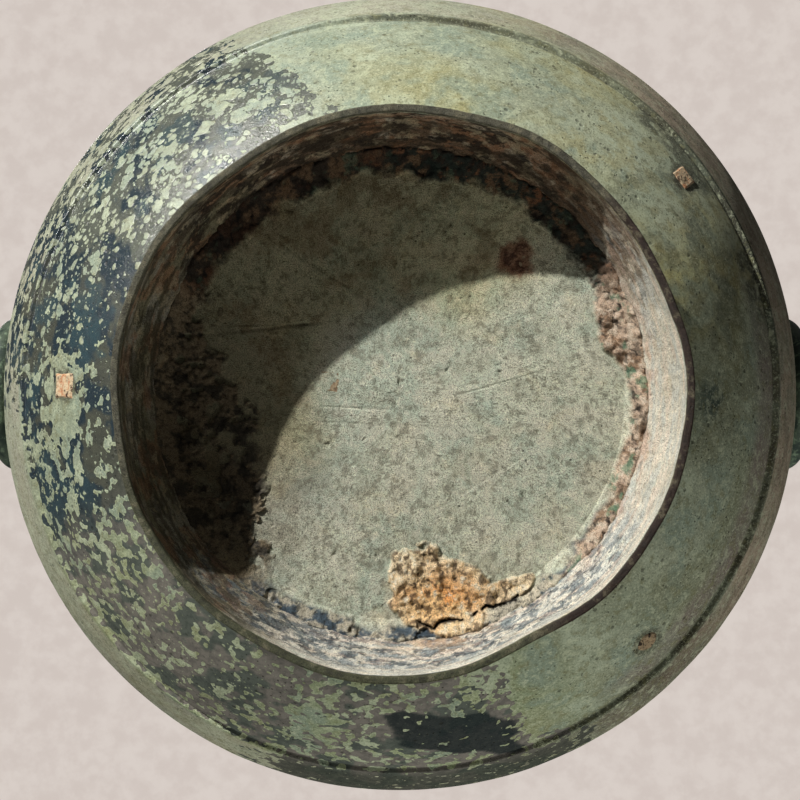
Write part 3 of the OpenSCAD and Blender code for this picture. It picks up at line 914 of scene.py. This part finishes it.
def wall_tint(p, th):
    """Crusted inside of the foot: beige at the right and below, brown and dark at the upper left. The
    brown crust there is darkened further, and the left of the wall darkened, as painted shade where the
    rim's shadow falls.
    """
    z = p[:, 2]
    a = stretched(p, 2.2, 14, 5, 121, 0.62)
    b = stretched(p, 1.3, 5, 5, 123, 0.68)
    brown = arc(th, 26, 150, 14)
    soot = step(0.5, 0.58, stretched(p, 2, 6, 5, 133, 0.68)) * step(4, 20, z)
    # The left of the wall, in the rim's shadow
    left = arc(th, 130, 238, 12)
    blue = 0.85 * arc(th, 216, 330, 12) * step(4, 14, z)
    shadow = arc(th, 50, 238, 14)
    rust = step(0.5, 0.58, stretched(p, 1.6, 9, 4, 141, 0.6))
    black = step(0.51, 0.56, stretched(p, 1.6, 6, 5, 129, 0.7))
    streak = fbm(np.stack([turn(th, 330) * 0.45, z * 1.8, 0 * th], 1), 3, 5, 145, 0.66)
    bright = arc(th, 250, 396, 14)
    orange = arc(th, 270, 292, 6) * step(14, 26, z) * step(0.46, 0.58, b)
    pink = arc(th, -45, 20, 8) * step(18, 26, z) * step(0.4, 0.6, b)
    line = np.abs(stretched(p, 1.4, 11, 3, 151) - 0.5)
    return layers(
        coat(p, (192, 186, 168)),
        ((216, 211, 196), 0.8 * step(0.52, 0.4, a)),
        ((150, 142, 122), 0.7 * step(0.52, 0.64, a)),
        ((110, 110, 100), 0.7 * step(0.55, 0.65, b)),
        ((218, 214, 202), 0.6 * step(0.45, 0.34, b)),
        ((206, 200, 184), 0.6 * arc(th, -40, 24, 8)),
        # Brown crust at the upper wall, darker than its own colour as painted shade
        ((128, 114, 92), 0.8 * brown),
        ((86, 66, 50), 0.85 * brown * step(0.36, 0.54, b + 0.14 * step(8, 24, z) - 0.05)),
        ((40, 36, 30), 0.85 * brown * soot),
        # Painted shade: the left of the wall darkened, in the rim's shadow
        ((96, 92, 76), 0.75 * left),
        ((112, 108, 84), 0.7 * left * step(0.44, 0.56, a)),
        ((224, 218, 206), 0.5 * arc(th, 240, 330, 12)),
        ((92, 102, 108), blue * step(0.48, 0.56, stretched(p, 1.8, 4.2, 5, 127, 0.75))),
        ((52, 62, 70), blue * step(0.53, 0.59, stretched(p, 1.8, 3, 4, 139, 0.75))),
        ((128, 92, 66), 0.6 * shadow * rust),
        ((36, 32, 28), (0.9 - 0.4 * arc(th, 150, 238, 12)) * shadow * black),
        ((150, 138, 112), 0.6 * shadow * step(0.58, 0.64, fbm(p, 4, 4, 143, 0.7))),
        # Streaks that run down the wall
        ((54, 46, 36), 0.75 * arc(th, 55, 150, 8) * step(0.5, 0.58, streak)),
        ((64, 60, 46), 0.75 * arc(th, 150, 236, 8) * step(0.49, 0.57, streak)),
        ((172, 182, 184), 0.36 * bright * step(0.5, 0.58, streak)),
        ((218, 190, 174), 0.26 * bright * step(0.45, 0.38, streak)),
        # Orange and pink corrosion in the corner with the base, and hair lines
        ((186, 150, 108), 0.5 * orange),
        ((190, 152, 132), 0.5 * pink),
        ((70, 62, 52), 0.3 * (1 - step(0.003, 0.012, line))),
    )


def rim_tint(p, th):
    """Worn underside of the rim."""
    worn = fbm(p, 2.4, 5, 131, 0.7)
    return layers(
        coat(p, (84, 82, 68)),
        ((50, 38, 32), arc(th, -60, 44, 8)),
        ((70, 72, 52), arc(th, 196, 300, 8)),
        ((126, 120, 98), 0.45 * step(0.54, 0.68, worn)),
        ((34, 32, 28), 0.5 * step(0.46, 0.34, worn)),
    )


def outside_tint(p, th):
    """Outside of the foot: green like the belly, dark where the belly over it is, dirty below."""
    dark = arc(th, 108, 292, 6) * step(0.36, 0.44, fbm(p, 6, 4, 137, 0.6))
    dirt = (1 - step(0, 12, p[:, 2])) * step(0.4, 0.6, stretched(p, 1.3, 5, 5, 123, 0.68))
    out = layers(coat(p, GREEN), (OLIVE, 0.7 * step(0.45, 0.62, fbm(p, 20, 4, 135))))
    out = blend(out, rgb(*BLUEBLACK) * 1.5, 0.9 * dark)
    return layers(out, ((92, 84, 66), 0.5 * dirt))


def foot_paint(p, row):
    """Point data of the foot: three zones, and a soft change from the inside wall to the rim."""
    th = seen(p)[0]
    inner = row < FOOT_INNER - 3
    under = (row >= FOOT_INNER - 3) & (p[:, 2] < 1.2)
    rim = rim_tint(p, th)
    outer = np.where(under[:, None], rim, outside_tint(p, th))
    col = np.where(inner[:, None], wall_tint(p, th), outer)
    soft = ((1 - step(0, 1.1, p[:, 2])) * (row < FOOT_INNER))[:, None]
    return {"tint": col * (1 - soft) + rim * soft, "dull": np.where(inner, 1, 0.72)}


foot = lathe("foot_shell", FOOT_PROF, 1280, foot_shape, foot_paint, [FOOT])
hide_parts("foot_ring")
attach(foot, "vessel")

# Crust in the corner under the base, with the ochre lump. The lump's places are in the picture, in
# pixels from the centre, right and up: an oval that leans, and a tail of it along the corner.
LUMP_X = 44
LUMP_Y = -202
LUMP_HALF = (54, 42)
LUMP_LEAN = 0.25
TAIL_X = 88
TAIL_Y = -203
TAIL_HALF = (44, 13)
TAIL_LEAN = 0.4
CORNER_R = 71.5  # where the solder's rise to the foot's wall begins
CORNER_RISE = 5.2
# Where the crust at the right ends toward the centre: an angle and a picture radius
RIGHT_EDGE = ((-50, 236), (-20, 232), (4, 228), (14, 206), (30, 222))


def crust_height(p):
    """Thickness of the crust on the base, the weights of its colours, and the gaps in its crumbs."""
    th, rho, r = seen(p)
    rag = 22 * (fbm(p, 9, 4, 201, 0.6) - 0.5)
    big = step(0.35, 0.7, fbm(p, 7, 3, 203, 0.6))
    crumb = 0.35 * grains(p, 3.4, 207) + 0.65 * grains(p, 1.9, 205)
    corner = np.clip((r - CORNER_R) / 6, 0, 1) ** 1.6 * CORNER_RISE
    # The ochre lump
    x = rho * np.cos(np.radians(th))
    y = rho * np.sin(np.radians(th))
    aside = (x - LUMP_X) / LUMP_HALF[0]
    above = (y - LUMP_Y + LUMP_LEAN * (x - LUMP_X)) / LUMP_HALF[1]
    oval = (np.abs(aside) ** 3 + np.abs(above) ** 3) ** (1 / 3)
    tail = np.hypot((x - TAIL_X) / TAIL_HALF[0], (y - TAIL_Y - TAIL_LEAN * (x - TAIL_X)) / TAIL_HALF[1])
    ochre = step(1.08, 0.92, np.minimum(oval, tail) + 0.03 * rag)
    h_ochre = ochre * (0.7 + 1.5 * big + 1.2 * fbm(p, 1.9, 3, 217, 0.7) + 0.5 * crumb)
    # The crust round the rest of the corner, in four parts
    wide = np.interp(turn(th, 0), *np.array(RIGHT_EDGE, float).T)
    right = arc(th, -48, 27, 7) * step(-4, 5, rho - wide + 0.9 * rag)
    h_right = right * (0.3 + 1.2 * big + 0.7 * crumb + 1.2 * fbm(p, 2.2, 3, 219, 0.7))
    frayed = rag + 16 * (fbm(p, 3.6, 4, 231, 0.65) - 0.5)
    top = arc(th, 20, 152, 8) * step(212, 232, rho + frayed)
    h_top = top * (0.2 + 1.2 * big + 1.3 * crumb)
    reach = 150 + 60 * (1 - arc(th, 168, 222, 20))
    torn = fbm(p, 5, 4, 209, 0.6) + 0.3 * step(215, 235, rho)
    left = arc(th, 148, 232, 6) * step(-6, 14, rho + 2.2 * rag - reach) * step(0.4, 0.5, torn)
    h_left = left * (0.25 + 0.9 * crumb)
    low = arc(th, 230, 332, 6) * step(226, 238, rho + rag * 0.9)
    h_low = low * (0.2 + 0.9 * big + 0.5 * crumb + 0.7 * fbm(p, 2.2, 3, 219, 0.7))
    h_low = h_low * step(0.42, 0.5, fbm(p, 8, 4, 221, 0.6))
    # The crack between the lump and the foot's wall
    line = rho - 231 - 12 * (fbm(p, 5, 4, 211, 0.65) - 0.5) + 6 * (fbm(p, 14, 2, 213) - 0.5)
    crack = arc(th, 274, 302, 1.5) * (1 - step(0.6, 2.6, np.abs(line)))
    crack = crack * step(0.36, 0.46, fbm(p, 3, 3, 215))
    h = np.maximum.reduce([h_ochre, h_right, h_top, h_left, h_low])
    some = np.clip(ochre + right + top + left + low, 0, 1)
    h = h + corner - 2.4 * crack * (h > 1) - 0.9 * (1 - step(0.02, 0.25, some)) * (r < 72)
    weights = {"ochre": ochre, "right": right, "top": top, "left": left, "low": low, "crack": crack}
    return h, weights, 1 - step(0.22, 0.55, crumb)


def crust_shape(p, nrm, row):
    """The crust hangs down from the base by its thickness, a little irregular sideways."""
    h = crust_height(p)[0]
    out = p.copy()
    out[:, 2] = FOOT_H - h
    r = np.hypot(p[:, 0], p[:, 1])
    wob = 0.8 * (fbm(p, 2.4, 3, 211) - 0.5) * step(0.3, 2, h)
    out[:, :2] += out[:, :2] / r[:, None] * wob[:, None]
    return out


def crust_paint(p, row):
    """Point data of the crust: each part has a ground of its own with grains, gaps and stains."""
    q = p.copy()
    q[:, 2] = FOOT_H
    weights, gap = crust_height(q)[1:]
    th, rho = seen(q)[:2]
    b = fbm(p, 5, 5, 221, 0.65)
    c = fbm(p, 9, 4, 223, 0.6)
    d = fbm(p, 2.2, 4, 229, 0.65)
    green = step(0.6, 0.68, fbm(p, 4, 4, 225, 0.6))
    col = base_tint(q, th, rho)

    def mottled(ground, other, share):
        """A ground with patches of another tone"""
        return layers(coat(p, ground), (other, step(share - 0.05, share + 0.07, b)))

    beige = layers(
        mottled((184, 162, 142), (138, 112, 90), 0.5),
        ((204, 190, 172), 0.7 * step(0.47, 0.36, d)),
        ((44, 36, 30), 0.85 * gap + 0.6 * step(0.57, 0.64, d)),
        ((76, 126, 100), 0.6 * green),
    )
    black = step(0.47, 0.53, d + 0.4 * (c - 0.5))
    brown = layers(
        mottled((92, 74, 56), (46, 40, 34), 0.46),
        ((126, 86, 60), 0.6 * step(0.54, 0.64, c)),
        ((72, 88, 72), 0.6 * green),
        ((36, 44, 40), 0.9 * arc(th, 30, 96, 8) * black),
        ((26, 24, 22), 0.7 * gap + 0.8 * arc(th, 96, 150, 10) * step(0.48, 0.56, c)),
    )
    olive = layers(
        mottled((112, 100, 80), (62, 57, 48), 0.5),
        ((130, 120, 98), 0.7 * step(0.58, 0.66, c)),
        ((26, 24, 22), 0.6 * gap),
    )
    grey = layers(
        mottled((164, 158, 142), (64, 78, 90), 0.46),
        ((200, 190, 168), 0.8 * step(0.54, 0.62, c)),
        ((36, 38, 40), 0.8 * gap + 0.6 * step(0.57, 0.64, d)),
    )
    glow = 1.3 * spot(th, rho, 280, 212, 10, 24)
    orange = layers(
        mottled((220, 200, 166), (194, 168, 130), 0.54),
        ((232, 192, 138), glow),
        ((220, 152, 86), 0.8 * glow * step(0.44, 0.58, c)),
        ((84, 68, 52), 0.35 * gap + 0.8 * step(0.54, 0.62, d)),
        ((214, 206, 186), 0.8 * step(0.4, 0.3, d)),
    )
    for part, tone, depth in (
        ("low", grey, 1.2),
        ("left", olive, 1.2),
        ("top", brown, 1.6),
        ("right", beige, 1.3),
        ("ochre", orange, 1.4),
    ):
        col = blend(col, tone, weights[part] * depth)
    col = layers(col, ((30, 27, 25), weights["crack"]))
    return {"tint": col, "dull": np.ones(len(p))}


CRUST_PROF = [(r, FOOT_H) for r in np.linspace(42, 78.6, 104)]
crust = lathe("foot_crust", CRUST_PROF, 1500, crust_shape, crust_paint, [CRUST])
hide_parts("foot_solder_run")
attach(crust, "vessel")


def plug(name, node, at, out, up, w, h, mat, round_, seed):
    """A small rough plug, a little proud of the surface that it lies in, w across and h along up."""
    n = 30
    lift = 0.3
    g = np.linspace(-1, 1, n)
    u, v = [q.ravel() for q in np.meshgrid(g, g)]
    if round_:
        k = np.maximum(np.abs(u), np.abs(v)) / np.maximum(np.hypot(u, v), 1e-6)
        u = u * k
        v = v * k
        edge = np.hypot(u, v)
    else:
        edge = np.maximum(np.abs(u), np.abs(v))
    side = np.cross(up, out)
    pts = np.stack([u * w / 2, v * h / 2, 0 * u], 1)
    wob = 1 + 0.16 * (fbm(pts + seed * 7.7, 4, 3, seed) - 0.5) * edge
    relief = 0.5 * (fbm(pts + seed * 3.1, 2.2, 4, seed + 5) - 0.5) * (1 - step(0.8, 1, edge))
    height = lift * (1 - step(0.86, 1, edge) * 1.6) + relief
    p = at + side * (pts[:, 0] * wob)[:, None] + up * (pts[:, 1] * wob)[:, None] + out * height[:, None]
    i, j = [q.ravel() for q in np.meshgrid(range(n - 1), range(n - 1), indexing="ij")]
    k = i * n + j
    quads = np.stack([k, k + 1, k + n + 1, k + n], -1)
    ob = mesh_object(name, p, quads, [mat])
    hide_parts(node)
    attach(ob, "vessel")


def wall_plug(name, node, turn_deg, lat, *rest):
    """A plug in the belly's wall at an angle about the axis and a latitude."""
    t = math.radians(turn_deg)
    a = math.radians(lat)
    out = np.array([math.cos(a) * math.cos(t), math.cos(a) * math.sin(t), math.sin(a)])
    up = np.array([-math.sin(a) * math.cos(t), -math.sin(a) * math.sin(t), math.cos(a)])
    at = np.array([0, 0, BELLY_Z]) + out * (BELLY_R + 0.1)
    plug(name, node, at, out, up, *rest)


SPACER_TONES = {
    "orange": spacer_material("spacer_orange", rgb(196, 176, 144), rgb(176, 124, 88), rgb(76, 52, 38)),
    "brown": spacer_material("spacer_brown", rgb(150, 132, 104), rgb(112, 92, 70), rgb(52, 44, 36)),
}
for k, (name, node, at, lat, w, h, tone, round_) in enumerate(SPACERS):
    wall_plug(name, node, at, lat, w, h, SPACER_TONES[tone], round_, 3 + 2 * k)

# Pieces whose CAD nodes show as they are, in a material of their own
fittings = ("right_mask", "left_mask", "right_ring", "left_ring")
for name in fittings + ("round_base_spacer", "square_base_spacer"):
    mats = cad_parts[name].data.materials
    mats.clear()
    mats.append(DARK if name in fittings else SPACER_TONES["brown"])


# Stage: a pale floor that only shows from above, pale surroundings and soft lights
def surroundings():
    """Warm pale paper to the camera, and a dim even room to everything else."""
    world = bpy.data.worlds.new("surroundings")
    bpy.context.scene.world = world
    world.use_nodes = True
    w = Nodes("", world.node_tree)
    path = w.new("ShaderNodeLightPath")
    room = w.new("ShaderNodeBackground", {"Color": rgb(236, 234, 230), "Strength": 0.09})
    grain = w.noise(w.coord("Generated"), 90, 5, 0.6)
    tone = w.mix(w.fit(grain, 0.35, 0.65), rgb(208, 197, 190), rgb(216, 206, 199))
    paper = w.new("ShaderNodeBackground", {"Color": tone, "Strength": 1})
    w.either(path.outputs["Is Camera Ray"], room, paper, "ShaderNodeOutputWorld")


def floor_material():
    """Pale, fading out at its rim, and clear from below."""
    m = Nodes("pale_floor")
    p = m.coord()
    grain = m.noise(p, 60, 6, 0.6)
    tone = m.mix(m.fit(grain, 0.35, 0.65), rgb(196, 188, 184), rgb(206, 199, 195))
    pale = m.new("ShaderNodeBsdfDiffuse", {"Color": tone})
    clear = m.new("ShaderNodeBsdfTransparent")
    length = m.new("ShaderNodeVectorMath", {0: p}, operation="LENGTH")
    show = m.math("SUBTRACT", 1, m.new("ShaderNodeNewGeometry").outputs["Backfacing"])
    show = m.times(show, m.new("ShaderNodeLightPath").outputs["Is Camera Ray"])
    show = m.times(show, m.fit(length.outputs["Value"], 1.7, 0.7))
    m.either(show, clear, pale, "ShaderNodeOutputMaterial")
    return m.mat


def area(name, place, size, power, target, tone=(1, 1, 1)):
    """A square lamp at a place in metres, turned to its target."""
    data = bpy.data.lights.new(name, "AREA")
    data.size = size
    data.energy = power
    data.color = tone
    ob = bpy.data.objects.new(name, data)
    bpy.context.scene.collection.objects.link(ob)
    ob.location = place
    aim = Vector(target) - Vector(place)
    ob.rotation_euler = aim.to_track_quat("-Z", "Y").to_euler()
    return ob


surroundings()
bpy.ops.mesh.primitive_plane_add(size=4, location=(0, 0, -0.0002))
floor = bpy.context.object
floor.name = "floor"
floor.data.materials.append(floor_material())

# The key lamp throws the foot's shadow on the base; a wide lamp in the same direction is seen in
# reflections only; the two others lift the front and the top
KEY = np.array([0.575, 0.685, -0.447]) * 1.5
WARM = (1, 0.98, 0.94)
FOOT_MIDDLE = (0, 0, 0.03)
area("key_below", KEY, 0.022, 41, FOOT_MIDDLE, WARM)
fill = area("fill_front", (-0.2, -1.15, -0.2), 0.9, 12, (0, 0, 0.12), (1, 0.99, 0.96))
fill.visible_glossy = False
sheen = area("sheen_below", KEY, 0.5, 4.5, FOOT_MIDDLE, WARM)
sheen.visible_diffuse = False
area("soft_above", (0.05, 0.1, 1.65), 0.9, 38, (0, 0, 0.2))

# Camera: straight up from below, on the vessel's axis
SENSOR = 36
cam = bpy.data.cameras.new("camera")
camera = bpy.data.objects.new("camera", cam)
bpy.context.scene.collection.objects.link(camera)
camera.location = (0, 0, -CAM_D / 1000)
camera.rotation_euler = (0, math.pi, 0)
cam.sensor_width = SENSOR
cam.lens = PX / PICTURE * SENSOR
cam.shift_y = -0.0075
cam.clip_start = 0.05
cam.clip_end = 50
bpy.context.scene.camera = camera
bpy.context.scene.view_settings.view_transform = "Standard"
